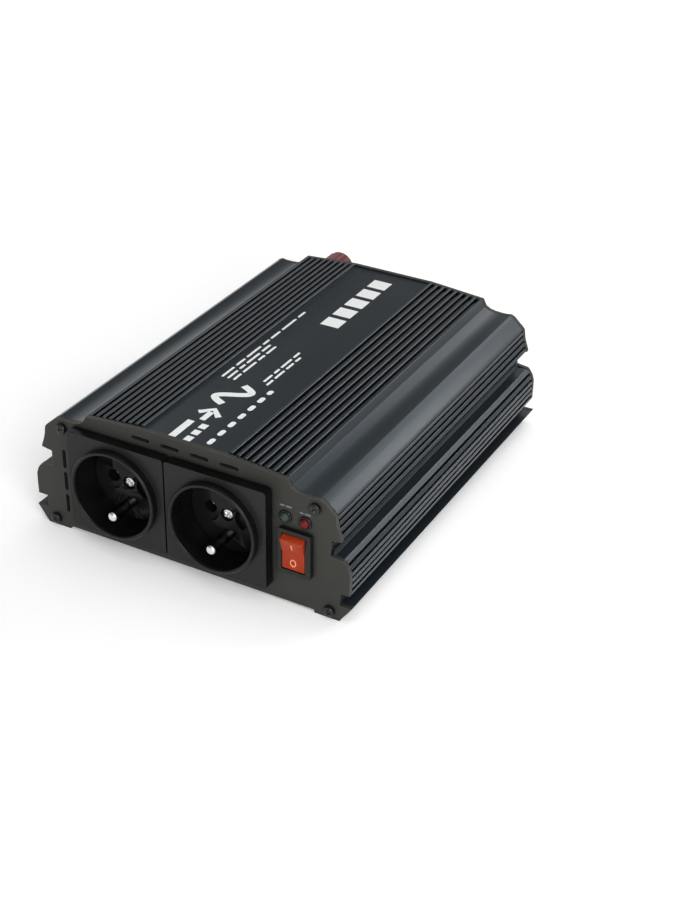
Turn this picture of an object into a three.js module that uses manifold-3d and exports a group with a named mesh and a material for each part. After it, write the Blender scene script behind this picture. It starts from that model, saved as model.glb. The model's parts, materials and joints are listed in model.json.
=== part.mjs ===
// Power inverter: a finned aluminium case with two pin-earth sockets and a rocker switch in front,
// and a fan and two screw terminals behind.  Millimetres, X to the right, Y to the rear, Z up.
// Everything is laid out from the front face of the front plate (Y 0) and the underside of the feet (Z 0),
// and moved along Y at the end, so that the origin is under the middle of the whole object.

import * as THREE from 'three';
import { mergeVertices } from 'three/addons/utils/BufferGeometryUtils.js';
import Module from 'manifold-3d';

const wasm = await Module();
wasm.setup();

// ---------------------------------------------------------------- driving dimensions

const GAP = 0.3;

// Case and end plates
const CASE_LENGTH = 191.4;
const PLATE_THICKNESS = 2;
const SPLIT_HEIGHT = 34;
const PANEL_HEIGHT = 63.1;
const TOP_RIBS = { count: 9, first: 21.8, pitch: 3.38, half: 0.8, top: 64.5, fall: 0.1, depth: 2.2 };
const RIB_CHAMFER = 0.35;
const UPPER_SIDE_RIBS = { centres: [49, 46.2, 43.4, 40.6], half: 0.75, depth: 1.8 };
const LOWER_SIDE_RIBS = { centres: [29.5, 26.5, 23.5, 20.5, 17.5], half: 0.85, depth: 2 };

// Cross-head screws
const SCREW_HEAD_RADIUS = 2.5;
const SCREW_HEAD_HEIGHT = 1.6;
const SCREW_RECESS = { depth: 0.9, halfWidth: 0.35, reach: 0.56 };
const SCREW_SHANK_RADIUS = 1.5;
const SCREW_HOLE_RADIUS = SCREW_SHANK_RADIUS + GAP;
const PLATE_SCREWS = [[-62.8, 52], [62.8, 52], [-69.8, 3.8], [69.8, 3.8]];
const PLATE_SCREW_LENGTH = 12;

// Vent slots in the front plate: a row above the sockets, and a column beside them
const VENT_SLOT = { length: 9.5, width: 1.9 };
const UPPER_VENTS = { z: 58.8, centres: [-21.7, -7.1, 7.5, 22.1] };
const SIDE_VENTS = { x: -63, centres: [36.3, 24.9, 13.5] };

// Sockets
const SOCKET_CENTRES = { left: -32.1, right: 17.85 };
const SOCKET_HEIGHT = 31.4;
const SOCKET_BLOCK = { width: 49.35, height: 47.8, corner: 1.5, front: -5.15 };
const SOCKET_WELL_RADIUS = 19.5;
const SOCKET_BARREL_RADIUS = 21.3;
const SOCKET_RIM = -8.85;
const SOCKET_FLOOR = 6.6;
const SOCKET_FLOOR_THICKNESS = 5;
const SOCKET_SEAT = 4.2;
const SOCKET_BACK = 24;
const CONTACT_SPACING = 19;
const CONTACT_HOLE_RADIUS = 3;
const EARTH_PIN = { radius: 2.4, drop: 10, reach: 14 };

// Switch and indicator lamps
const SWITCH = { x: 53.7, z: 28, windowWidth: 11.1, windowHeight: 17.8 };
const SWITCH_BEZEL = { x: 54.1, width: 15.4, height: 21.4, thickness: 2 };
const SWITCH_CUTOUT = { width: 13.8, height: 20 };
const SWITCH_DEPTH = 16;
const ROCKER_PIVOT = 0.4;
const ROCKER_HALF_THROW = THREE.MathUtils.degToRad(9);
const LAMPS = { green: [48.9, 43.6], red: [58.2, 43.4] };
const LAMP_RADIUS = 2;

// Fan
const FAN = { x: 20, z: 31, size: 50, thickness: 15, bore: 23.4, hub: 9.5, shaft: 1.5, holes: 20 };

// Battery terminals
const TERMINAL_X = -45;
const TERMINAL_HEIGHTS = { red: 46.6, black: 22.6 };
const STUD_RADIUS = 3;
const KNOB = { radius: 7.6, start: 6.1, end: 28, flutes: 12 };

// Circuit board and what stands on it
const BOARD = { halfWidth: 69.5, front: 27, rear: 170, bottom: 7.6, thickness: 1.6 };
const BOARD_TOP = BOARD.bottom + BOARD.thickness;

const REAR_FACE = CASE_LENGTH;
const CENTRE_SHIFT = -(SOCKET_RIM + REAR_FACE + KNOB.end) / 2;

// ---------------------------------------------------------------- solids

// Turns a closed geometry into a solid, with its faces outward.
function solid(geometry) {
  const bare = geometry.clone();
  bare.deleteAttribute('normal');
  bare.deleteAttribute('uv');
  const merged = mergeVertices(bare, 1e-4);
  const positions = merged.attributes.position;
  const index = merged.index.array;
  const corners = [];
  let volume = 0;
  const a = new THREE.Vector3();
  const b = new THREE.Vector3();
  const c = new THREE.Vector3();
  for (let i = 0; i < index.length; i += 3) {
    const [p, q, r] = [index[i], index[i + 1], index[i + 2]];
    if (p === q || q === r || r === p) continue;
    a.fromBufferAttribute(positions, p);
    b.fromBufferAttribute(positions, q);
    c.fromBufferAttribute(positions, r);
    volume += a.dot(b.cross(c));
    corners.push(p, q, r);
  }
  if (volume < 0) corners.reverse();
  return new wasm.Manifold(new wasm.Mesh({
    numProp: 3,
    vertProperties: new Float32Array(positions.array),
    triVerts: new Uint32Array(corners),
  }));
}

function joined(...pieces) {
  return pieces.reduce((whole, piece) => whole.add(piece));
}

function cut(body, ...tools) {
  return tools.reduce((rest, tool) => rest.subtract(tool), body);
}

// A flat outline in X and Z, given depth along Y.
function slab(shape, yStart, yEnd, curveSegments = 12) {
  const geometry = new THREE.ExtrudeGeometry(shape, {
    depth: yEnd - yStart, bevelEnabled: false, curveSegments,
  });
  geometry.rotateX(Math.PI / 2);
  geometry.translate(0, yEnd, 0);
  return solid(geometry);
}

// A flat outline in X and Y, given height along Z.
function raised(shape, zStart, zEnd, curveSegments = 12) {
  const geometry = new THREE.ExtrudeGeometry(shape, {
    depth: zEnd - zStart, bevelEnabled: false, curveSegments,
  });
  geometry.translate(0, 0, zStart);
  return solid(geometry);
}

// A profile of [radius, y] points turned about an axis along Y through x and z.
function turned(profile, x, z, segments = 24) {
  const points = profile.map(([radius, y]) => new THREE.Vector2(radius, y));
  const geometry = new THREE.LatheGeometry(points, segments);
  geometry.translate(x, 0, z);
  return solid(geometry);
}

function disc(radius, yStart, yEnd, x, z, segments = 24) {
  return turned([[0, yStart], [radius, yStart], [radius, yEnd], [0, yEnd]], x, z, segments);
}

function box(xRange, yRange, zRange) {
  const [sizes, middles] = [[], []];
  for (const [low, high] of [xRange, yRange, zRange]) {
    sizes.push(high - low);
    middles.push((low + high) / 2);
  }
  const geometry = new THREE.BoxGeometry(...sizes);
  geometry.translate(...middles);
  return solid(geometry);
}

// ---------------------------------------------------------------- outlines

function polygon(points) {
  return new THREE.Shape(points.map(([x, y]) => new THREE.Vector2(x, y)));
}

function circle(x, y, radius, segments = radius > 10 ? 36 : 12) {
  return polygon(Array.from({ length: segments }, (_, i) => {
    const angle = i * Math.PI * 2 / segments;
    return [x + radius * Math.cos(angle), y + radius * Math.sin(angle)];
  }));
}

function roundedRectangle(x, y, width, height, corner) {
  const [left, right] = [x - width / 2, x + width / 2];
  const [bottom, top] = [y - height / 2, y + height / 2];
  const path = new THREE.Shape();
  path.moveTo(left + corner, bottom);
  path.lineTo(right - corner, bottom);
  path.absarc(right - corner, bottom + corner, corner, -Math.PI / 2, 0, false);
  path.lineTo(right, top - corner);
  path.absarc(right - corner, top - corner, corner, 0, Math.PI / 2, false);
  path.lineTo(left + corner, top);
  path.absarc(left + corner, top - corner, corner, Math.PI / 2, Math.PI, false);
  path.lineTo(left, bottom + corner);
  path.absarc(left + corner, bottom + corner, corner, Math.PI, Math.PI * 1.5, false);
  return path;
}

function mirrored(points) {
  return points.map(([x, y]) => [-x, y]);
}

// Reads a skin line of [x, z] points, listed from the top down, at one height.
function skinAt(skin, z) {
  for (let i = 1; i < skin.length; i += 1) {
    const [[xAbove, zAbove], [xBelow, zBelow]] = [skin[i - 1], skin[i]];
    if (z >= zBelow) return xAbove + (xBelow - xAbove) * (zAbove - z) / (zAbove - zBelow);
  }
  return skin[skin.length - 1][0];
}

// Ribs that run the length of the case on a side wall, from the top rib down.
function sideRibs(skin, { centres, half, depth }) {
  return centres.flatMap((z) => {
    const [xTop, xBottom] = [skinAt(skin, z + half), skinAt(skin, z - half)];
    return [
      [xTop - depth, z + half],
      [xTop - RIB_CHAMFER, z + half],
      [xTop, z + half - RIB_CHAMFER],
      [xBottom, z - half + RIB_CHAMFER],
      [xBottom - RIB_CHAMFER, z - half],
      [xBottom - depth, z - half],
    ];
  });
}

// Ribs on the sloping flank of the top, from the flat centre panel outward.
function topRibs({ count, first, pitch, half, top, fall, depth }) {
  const points = [];
  for (let i = 0; i < count; i += 1) {
    const x = first + i * pitch;
    const height = top - (x - first) * fall;
    const floor = height - depth;
    points.push(
      [x - half, i === 0 ? PANEL_HEIGHT : floor],
      [x - half, height - RIB_CHAMFER],
      [x - half + RIB_CHAMFER, height],
      [x + half - RIB_CHAMFER, height],
      [x + half, height - RIB_CHAMFER],
    );
    if (i < count - 1) points.push([x + half, floor]);
  }
  return points;
}

const COVE_AND_SHOULDER = [
  [50.4, 59.7], [51.3, 58.2], [53.5, 57], [56, 56.5], [59, 56.3], [62, 56.3],
  [64.7, 56.7], [66.6, 55.8], [68.5, 54], [70.8, 52], [72, 50.6],
];
const UPPER_SKIN = [[72.2, 50], [72.7, 46.3], [73.6, 43.2], [74.6, 40.7], [74.8, 39.4]];
const LOWER_SKIN = [[75.7, 30.4], [77.1, 28.8], [78.1, 27.2], [79, 24.5], [79.1, 20.6], [79, 14]];

// Lip over the side mounting slot, the slot, the slanted flange below it and the foot.
const SLOT_AND_FOOT = [[79, 14], [74.3, 14], [74.3, 7.9], [80.1, 7.9], [74.4, 0], [62.6, 0], [62.6, 1.5]];

// A shell section from its outer and inner right-hand lines, both listed from the middle outward.
function shellSection(outer, inner, screw) {
  const section = polygon([
    ...[...outer].reverse(), ...mirrored(outer), ...mirrored([...inner].reverse()), ...inner,
  ]);
  for (const side of [-1, 1]) section.holes.push(circle(side * screw[0], screw[1], SCREW_HOLE_RADIUS));
  return section;
}

function upperSection() {
  const outer = [
    ...topRibs(TOP_RIBS),
    ...COVE_AND_SHOULDER,
    ...sideRibs(UPPER_SKIN, UPPER_SIDE_RIBS),
    [69.5, 38.9], [69.5, 37.4], [70.6, 37.4], [70.6, 36.2], [69.5, 36.2], [69.5, SPLIT_HEIGHT + GAP],
  ];
  const inner = [
    [21.5, 60.1], [47.5, 57.6], [50, 56.5], [52, 54.2], [58.6, 53.6], [59.5, 48.4], [66, 48.4],
    [67.5, 49.4], [68.6, 47], [69.6, 41.5], [67.2, 39.5], [67.2, SPLIT_HEIGHT + GAP],
  ];
  return shellSection(outer, inner, PLATE_SCREWS[1]);
}

function lowerSection() {
  const outer = [
    [69.5, SPLIT_HEIGHT], [69.5, 33.2], [70.6, 33.2], [70.6, 31.9], [69.8, 31.9], [71, 30.35],
    ...sideRibs(LOWER_SKIN, LOWER_SIDE_RIBS),
    [77, 15.3], [79, 15.3],
    ...SLOT_AND_FOOT,
  ].reverse();
  const inner = [
    [62, 3.5], [64.5, 7.2], [71.8, 7.2], [71.8, 15], [74.4, 16.5], [74.4, 25.5], [72.5, 28.4],
    [67.2, 29.5], [67.2, SPLIT_HEIGHT],
  ];
  return shellSection(outer, inner, PLATE_SCREWS[3]);
}

// The end plates follow the case without its ribs.
function plateOutline() {
  const half = [
    [21.5, 63.8], [49.5, 61.6], ...COVE_AND_SHOULDER, ...UPPER_SKIN, [69.6, 38.6], [69.6, 31.2],
    ...LOWER_SKIN.slice(0, -1), ...SLOT_AND_FOOT,
  ];
  const outline = polygon([...half, ...mirrored(half).reverse()]);
  for (const [x, z] of PLATE_SCREWS) outline.holes.push(circle(x, z, SCREW_HOLE_RADIUS));
  return outline;
}

// ---------------------------------------------------------------- case

const caseFront = PLATE_THICKNESS + GAP;
const caseRear = REAR_FACE - PLATE_THICKNESS - GAP;

const makeUpperShell = () => slab(upperSection(), caseFront, caseRear, 5);
const makeLowerShell = () => slab(lowerSection(), caseFront, caseRear, 5);

function frontPlateOutline() {
  const outline = plateOutline();
  const { length, width } = VENT_SLOT;
  for (const x of UPPER_VENTS.centres) {
    outline.holes.push(roundedRectangle(x, UPPER_VENTS.z, length, width, width * 0.49));
  }
  for (const z of SIDE_VENTS.centres) {
    outline.holes.push(roundedRectangle(SIDE_VENTS.x, z, width, length, width * 0.49));
  }
  for (const x of Object.values(SOCKET_CENTRES)) {
    outline.holes.push(circle(x, SOCKET_HEIGHT, SOCKET_BARREL_RADIUS + GAP));
  }
  for (const [x, z] of Object.values(LAMPS)) outline.holes.push(circle(x, z, LAMP_RADIUS + GAP));
  outline.holes.push(roundedRectangle(SWITCH.x, SWITCH.z, SWITCH_CUTOUT.width, SWITCH_CUTOUT.height, 0.5));
  return outline;
}

const makeFrontPlate = () => slab(frontPlateOutline(), 0, PLATE_THICKNESS, 2);

function rearPlateOutline() {
  const outline = plateOutline();
  outline.holes.push(circle(FAN.x, FAN.z, FAN.bore));
  for (const [x, z] of fanCorners()) outline.holes.push(circle(x, z, SCREW_HOLE_RADIUS));
  for (const z of Object.values(TERMINAL_HEIGHTS)) outline.holes.push(circle(TERMINAL_X, z, 5 + GAP));
  return outline;
}

const makeRearPlate = () => slab(rearPlateOutline(), REAR_FACE - PLATE_THICKNESS, REAR_FACE, 2);

// A pan-head screw with a cross recess.  facing is -1 where the head looks forward and 1 where it looks back.
function screw(x, z, seat, facing, length, headRadius = SCREW_HEAD_RADIUS) {
  const { depth, halfWidth, reach } = SCREW_RECESS;
  const under = seat + facing * GAP;
  const top = under + facing * SCREW_HEAD_HEIGHT;
  const body = turned([
    [0, seat - facing * length], [SCREW_SHANK_RADIUS, seat - facing * length], [SCREW_SHANK_RADIUS, under],
    [headRadius, under], [headRadius, under + facing * 0.8], [headRadius * 0.7, top], [0, top],
  ], x, z, 12);
  const recessRange = [top - facing * depth, top + facing].sort((a, b) => a - b);
  const arm = headRadius * reach;
  const across = box([x - arm, x + arm], recessRange, [z - halfWidth, z + halfWidth]);
  const upright = box([x - halfWidth, x + halfWidth], recessRange, [z - arm, z + arm]);
  return cut(body, joined(across, upright));
}

// ---------------------------------------------------------------- sockets

function makeSocketHousing(x) {
  const { width, height, corner, front } = SOCKET_BLOCK;
  const face = roundedRectangle(x, SOCKET_HEIGHT, width, height, corner);
  face.holes.push(circle(x, SOCKET_HEIGHT, (SOCKET_WELL_RADIUS + SOCKET_BARREL_RADIUS) / 2));
  const barrel = turned([
    [0, SOCKET_BACK - 1.6], [SOCKET_WELL_RADIUS, SOCKET_BACK - 1.6], [SOCKET_WELL_RADIUS, SOCKET_RIM + 0.5],
    [SOCKET_WELL_RADIUS + 0.5, SOCKET_RIM], [SOCKET_BARREL_RADIUS - 0.4, SOCKET_RIM],
    [SOCKET_BARREL_RADIUS, SOCKET_RIM + 0.5], [SOCKET_BARREL_RADIUS, SOCKET_BACK], [0, SOCKET_BACK],
  ], x, SOCKET_HEIGHT, 40);
  return joined(slab(face, front, -GAP, 2), barrel);
}

// The floor of the well: two contact holes, the earth pin's hole, and a raised bridge round the screw,
// which a plug seats on and which is waisted where it passes between the contact holes.
function makeSocketInsert(x) {
  const back = SOCKET_FLOOR + SOCKET_FLOOR_THICKNESS;
  const floor = disc(SOCKET_WELL_RADIUS - GAP, SOCKET_FLOOR, back, x, SOCKET_HEIGHT, 40);
  const sides = [-1, 1].map((side) => x + side * CONTACT_SPACING / 2);
  const block = slab(roundedRectangle(x, SOCKET_HEIGHT + 3, 16, 20, 3), SOCKET_SEAT, SOCKET_FLOOR + 1, 2);
  const waists = sides.map((at) => disc(5.6, SOCKET_SEAT - 1, SOCKET_FLOOR, at, SOCKET_HEIGHT, 20));
  const holes = sides.map((at) => disc(CONTACT_HOLE_RADIUS, SOCKET_SEAT, back + 1, at, SOCKET_HEIGHT, 16));
  return cut(
    joined(floor, cut(block, ...waists)),
    ...holes,
    disc(EARTH_PIN.radius + GAP, SOCKET_FLOOR - 5, back + 1, x, SOCKET_HEIGHT - EARTH_PIN.drop, 16),
    disc(SCREW_HEAD_RADIUS + 0.6, SOCKET_FLOOR - 5, SOCKET_FLOOR, x, SOCKET_HEIGHT, 16),
    disc(SCREW_HOLE_RADIUS, SOCKET_FLOOR - 1, back + 1, x, SOCKET_HEIGHT, 12),
  );
}

// The pin has a shoulder behind the floor that keeps it from being pulled out.
function makeEarthPin(x) {
  const { radius, drop, reach } = EARTH_PIN;
  const tip = SOCKET_SEAT - reach;
  const shoulder = SOCKET_FLOOR + SOCKET_FLOOR_THICKNESS + GAP;
  return turned([
    [0, shoulder + 3], [radius + 1.4, shoulder + 3], [radius + 1.4, shoulder], [radius, shoulder],
    [radius, tip + 1.8], [radius * 0.85, tip + 0.8], [radius * 0.5, tip + 0.15], [0, tip],
  ], x, SOCKET_HEIGHT - drop, 16);
}

// A brass sleeve behind a contact hole, closed at its rear end.
function makeContact(x) {
  const front = SOCKET_FLOOR + SOCKET_FLOOR_THICKNESS + GAP;
  const back = SOCKET_BACK - 1.6 - GAP;
  return turned([
    [0, back - 1], [CONTACT_HOLE_RADIUS, back - 1], [CONTACT_HOLE_RADIUS, front],
    [CONTACT_HOLE_RADIUS + 0.7, front], [CONTACT_HOLE_RADIUS + 0.7, back], [0, back],
  ], x, SOCKET_HEIGHT, 16);
}

// ---------------------------------------------------------------- switch and lamps

function makeSwitchHousing() {
  const { x, z, windowWidth, windowHeight } = SWITCH;
  const { width, height, thickness } = SWITCH_BEZEL;
  const bezel = slab(roundedRectangle(SWITCH_BEZEL.x, z, width, height, 1), -GAP - thickness, -GAP, 3);
  const halfWidth = SWITCH_CUTOUT.width / 2 - GAP;
  const halfHeight = SWITCH_CUTOUT.height / 2 - GAP;
  const body = box([x - halfWidth, x + halfWidth], [-1, SWITCH_DEPTH], [z - halfHeight, z + halfHeight]);
  const cavity = box(
    [x - windowWidth / 2, x + windowWidth / 2],
    [-thickness - 2, SWITCH_DEPTH - 1.2],
    [z - windowHeight / 2, z + windowHeight / 2],
  );
  return cut(joined(bezel, body), cavity, rockerAxle(1 + GAP, 8));
}

function rockerAxle(radius, halfLength) {
  const geometry = new THREE.CylinderGeometry(radius, radius, halfLength * 2, 16);
  geometry.rotateZ(Math.PI / 2);
  geometry.translate(SWITCH.x, ROCKER_PIVOT, SWITCH.z);
  return solid(geometry);
}

// The rocker has two faces at a shallow angle.  It rests tipped, with its lower face pressed in.
function makeRocker() {
  const halfWidth = 5.25;
  const upperSide = [[-2.7, 0], [-3.9, 7.7], [-2.9, 8.1], [0.5, 8.3], [4, 6.4], [6.5, 2.4]];
  const lowerSide = upperSide.slice(1).reverse().map(([y, z]) => [y, -z]);
  const outline = polygon([...upperSide, ...lowerSide]);
  const geometry = new THREE.ExtrudeGeometry(outline, { depth: halfWidth * 2, bevelEnabled: false });
  const turn = new THREE.Matrix4().set(
    0, 0, 1, -halfWidth,
    1, 0, 0, 0,
    0, 1, 0, 0,
    0, 0, 0, 1,
  );
  geometry.applyMatrix4(turn);
  geometry.rotateX(ROCKER_HALF_THROW);
  geometry.translate(SWITCH.x, ROCKER_PIVOT, SWITCH.z);
  return joined(solid(geometry), rockerAxle(1, 6.2));
}

function makeLamp([x, z]) {
  const flange = PLATE_THICKNESS + GAP;
  return turned([
    [0, flange + 5], [LAMP_RADIUS, flange + 5], [LAMP_RADIUS, flange + 1], [LAMP_RADIUS + 0.6, flange + 1],
    [LAMP_RADIUS + 0.6, flange], [LAMP_RADIUS, flange], [LAMP_RADIUS, -0.6], [LAMP_RADIUS * 0.85, -1.5],
    [LAMP_RADIUS * 0.5, -2.1], [0, -2.3],
  ], x, z, 14);
}

// ---------------------------------------------------------------- fan

function fanCorners() {
  return [[-1, 1], [1, 1], [-1, -1], [1, -1]].map(([i, k]) => [FAN.x + i * FAN.holes, FAN.z + k * FAN.holes]);
}

const fanRear = REAR_FACE - PLATE_THICKNESS - GAP;
const fanFront = fanRear - FAN.thickness;

function makeFanFrame() {
  const frame = roundedRectangle(FAN.x, FAN.z, FAN.size, FAN.size, 3);
  frame.holes.push(circle(FAN.x, FAN.z, FAN.bore));
  for (const [x, z] of fanCorners()) frame.holes.push(circle(x, z, SCREW_HOLE_RADIUS));
  const motorSeat = disc(FAN.hub + 0.5, fanFront, fanFront + 2, FAN.x, FAN.z);
  const bearing = disc(FAN.shaft + GAP, fanFront - 1, fanFront + 3, FAN.x, FAN.z, 12);
  const struts = [0, 1, 2].map((i) => {
    const geometry = new THREE.BoxGeometry(18, 2, 2.4);
    geometry.translate(16, fanFront + 1, 0);
    geometry.rotateY(Math.PI / 2 + i * Math.PI * 2 / 3);
    geometry.translate(FAN.x, 0, FAN.z);
    return solid(geometry);
  });
  return cut(joined(slab(frame, fanFront, fanRear, 2), motorSeat, ...struts), bearing);
}

function makeFanRotor() {
  const [front, rear] = [fanFront + 2 + GAP, fanRear - 0.8];
  const tipRadius = FAN.bore - 0.8;
  const bladeCount = 7;
  const blades = Array.from({ length: bladeCount }, (_, i) => {
    const geometry = new THREE.BoxGeometry(tipRadius, 1.2, 13);
    geometry.translate(tipRadius / 2 + 4, 0, 0);
    geometry.rotateX(THREE.MathUtils.degToRad(50));
    geometry.rotateY(i * Math.PI * 2 / bladeCount);
    geometry.translate(FAN.x, (front + rear) / 2, FAN.z);
    return solid(geometry);
  });
  const sweep = disc(tipRadius, front + 0.5, rear - 0.5, FAN.x, FAN.z, 36);
  const hub = disc(FAN.hub, front, rear, FAN.x, FAN.z);
  const shaft = disc(FAN.shaft, fanFront + 0.5, front + 1, FAN.x, FAN.z, 12);
  return joined(joined(...blades).intersect(sweep), hub, shaft);
}

// Finger guard: wire rings on two crossed wires that end in eyes under the fan screws.
function makeFanGuard() {
  const wire = 0.8;
  const depth = REAR_FACE + GAP + wire;
  const rings = [7.5, 14.5, 21.5].map((radius) => {
    const geometry = new THREE.TorusGeometry(radius, wire, 5, 20);
    geometry.rotateX(Math.PI / 2);
    geometry.translate(FAN.x, depth, FAN.z);
    return solid(geometry);
  });
  const cornerDistance = Math.hypot(FAN.holes, FAN.holes);
  const arms = [45, 135].map((angle) => {
    const geometry = new THREE.CylinderGeometry(wire, wire, cornerDistance * 2, 5);
    geometry.rotateZ(Math.PI / 2);
    geometry.rotateY(THREE.MathUtils.degToRad(angle));
    geometry.translate(FAN.x, depth, FAN.z);
    return solid(geometry);
  });
  const eyes = fanCorners().map(([x, z]) => disc(SCREW_HOLE_RADIUS + 1.6, depth - wire, depth + wire, x, z, 12));
  const holes = fanCorners().map(([x, z]) => disc(SCREW_HOLE_RADIUS, depth - 2, depth + 2, x, z, 12));
  return cut(joined(...rings, ...arms, ...eyes), ...holes);
}

// ---------------------------------------------------------------- battery terminals

// The bush insulates the stud from the rear plate.
function makeTerminalBush(z) {
  const bore = STUD_RADIUS + GAP;
  const neckStart = REAR_FACE - PLATE_THICKNESS - 2.5;
  return turned([
    [bore, neckStart], [5, neckStart], [5, REAR_FACE + GAP], [7.6, REAR_FACE + GAP],
    [7.6, REAR_FACE + 3.7], [6.9, REAR_FACE + 4.3], [bore, REAR_FACE + 4.3], [bore, neckStart],
  ], TERMINAL_X, z, 20);
}

// A hexagon head inside the case, and a stud out to just short of the knob's blind end.
function makeTerminalStud(z) {
  const headEnd = REAR_FACE - PLATE_THICKNESS - 2.5 - GAP;
  const shank = disc(STUD_RADIUS, headEnd - 2, REAR_FACE + KNOB.end - 3.2, TERMINAL_X, z, 20);
  return joined(shank, disc(5.5, headEnd - 5, headEnd, TERMINAL_X, z, 6));
}

function makeTerminalWasher(z) {
  const bore = STUD_RADIUS + GAP;
  const [start, end] = [REAR_FACE + 4.6, REAR_FACE + 5.8];
  return turned([[bore, start], [6.3, start], [6.3, end], [bore, end], [bore, start]], TERMINAL_X, z, 20);
}

function makeTerminalKnob(z) {
  const { radius, start, end, flutes } = KNOB;
  const [front, back] = [REAR_FACE + start, REAR_FACE + end];
  const body = turned([
    [0, front], [radius - 0.9, front], [radius - 0.9, front + 2.5], [radius, front + 3.3],
    [radius, back - 2.4], [radius - 0.8, back - 0.8], [radius - 2.4, back], [0, back],
  ], TERMINAL_X, z, 36);
  const grooves = Array.from({ length: flutes }, (_, i) => {
    const angle = (i + 0.5) * Math.PI * 2 / flutes;
    const [x, up] = [Math.cos(angle), Math.sin(angle)].map((part) => part * (radius + 0.4));
    return disc(1.1, front + 2, back + 1, TERMINAL_X + x, z + up, 6);
  });
  const bore = disc(STUD_RADIUS + GAP, front - 1, back - 2.6, TERMINAL_X, z, 16);
  return cut(body, ...grooves, bore);
}

// ---------------------------------------------------------------- electronics

const makeBoard = () => box(
  [-BOARD.halfWidth, BOARD.halfWidth], [BOARD.front, BOARD.rear], [BOARD.bottom, BOARD_TOP],
);

// A double-E ferrite core: a block with a window on each side of its middle leg.
function makeTransformerCore(x, y) {
  const base = BOARD_TOP + GAP;
  const height = 34;
  const core = polygon([[x - 20, base], [x + 20, base], [x + 20, base + height], [x - 20, base + height]]);
  for (const side of [-1, 1]) {
    core.holes.push(roundedRectangle(x + side * 10, base + height / 2, 8, 22, 0.1));
  }
  return slab(core, y - 10, y + 10, 2);
}

function makeTransformerWinding(x, y) {
  const middle = BOARD_TOP + GAP + 17;
  const coil = roundedRectangle(x, y, 27.4, 34, 5);
  coil.holes.push(roundedRectangle(x, y, 12.6, 20.6, 0.5));
  return raised(coil, middle - 10.7, middle + 10.7, 4);
}

function makeCapacitor(x, y, radius, height) {
  const base = BOARD_TOP + GAP;
  const geometry = new THREE.CylinderGeometry(radius, radius, height, 24);
  geometry.rotateX(Math.PI / 2);
  geometry.translate(x, y, base + height / 2);
  return solid(geometry);
}

function makeChoke(x, y) {
  const geometry = new THREE.TorusGeometry(9, 4.5, 8, 16);
  geometry.translate(x, y, BOARD_TOP + GAP + 4.5);
  return solid(geometry);
}

// A bar that presses the power transistors against the side wall, which is their heat sink.
function makeClampBar(side) {
  const reach = [70.4, 74.1];
  return box(side < 0 ? [-reach[1], -reach[0]] : reach, [45, 150], [17, 25]);
}

// ---------------------------------------------------------------- materials and assembly

const MATERIALS = {
  case: ['#373d42', 0.55, 0.6],
  plate: ['#484845', 0.6, 0.4],
  screw: ['#26262a', 0.4, 0.8],
  socket: ['#3b3b3c', 0.55, 0],
  socketFloor: ['#2c2c2e', 0.6, 0],
  nickel: ['#c9cbcc', 0.3, 1],
  brass: ['#b8964a', 0.35, 1],
  bezel: ['#1c1c1e', 0.45, 0],
  rocker: ['#d5452a', 0.3, 0],
  greenLens: ['#b9c9b6', 0.2, 0],
  redLens: ['#b3262b', 0.2, 0],
  fan: ['#1b1c1d', 0.6, 0],
  wire: ['#b4b6b8', 0.35, 1],
  redPlastic: ['#a91f24', 0.45, 0],
  blackPlastic: ['#1e1e20', 0.45, 0],
  board: ['#1f5a36', 0.55, 0],
  ferrite: ['#303034', 0.7, 0.2],
  winding: ['#b9a23a', 0.6, 0],
  capacitor: ['#22283a', 0.4, 0],
  bar: ['#a5a8ab', 0.4, 0.9],
};

const inverter = new THREE.Group();
inverter.name = 'power_inverter';

function add(name, body, materialName) {
  const mesh = body.getMesh();
  const geometry = new THREE.BufferGeometry();
  geometry.setAttribute('position', new THREE.BufferAttribute(new Float32Array(mesh.vertProperties), 3));
  geometry.setIndex(new THREE.BufferAttribute(new Uint32Array(mesh.triVerts), 1));
  geometry.translate(0, CENTRE_SHIFT, 0);
  geometry.computeVertexNormals();
  const [color, roughness, metalness] = MATERIALS[materialName];
  const material = new THREE.MeshStandardMaterial({ color, roughness, metalness, flatShading: true });
  material.name = materialName;
  const node = new THREE.Mesh(geometry, material);
  node.name = name;
  inverter.add(node);
}

add('case_upper', makeUpperShell(), 'case');
add('case_lower', makeLowerShell(), 'case');
add('front_plate', makeFrontPlate(), 'plate');
add('rear_plate', makeRearPlate(), 'plate');

PLATE_SCREWS.forEach(([x, z], i) => {
  add(`front_screw_${i + 1}`, screw(x, z, 0, -1, PLATE_SCREW_LENGTH), 'screw');
  add(`rear_screw_${i + 1}`, screw(x, z, REAR_FACE, 1, PLATE_SCREW_LENGTH), 'screw');
});

for (const [side, x] of Object.entries(SOCKET_CENTRES)) {
  add(`socket_${side}_housing`, makeSocketHousing(x), 'socket');
  add(`socket_${side}_insert`, makeSocketInsert(x), 'socketFloor');
  add(`socket_${side}_earth_pin`, makeEarthPin(x), 'nickel');
  add(`socket_${side}_screw`, screw(x, SOCKET_HEIGHT, SOCKET_FLOOR, -1, 13), 'nickel');
  add(`socket_${side}_contact_1`, makeContact(x - CONTACT_SPACING / 2), 'brass');
  add(`socket_${side}_contact_2`, makeContact(x + CONTACT_SPACING / 2), 'brass');
}

add('switch_housing', makeSwitchHousing(), 'bezel');
add('switch_rocker', makeRocker(), 'rocker');
add('lamp_green', makeLamp(LAMPS.green), 'greenLens');
add('lamp_red', makeLamp(LAMPS.red), 'redLens');

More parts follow.
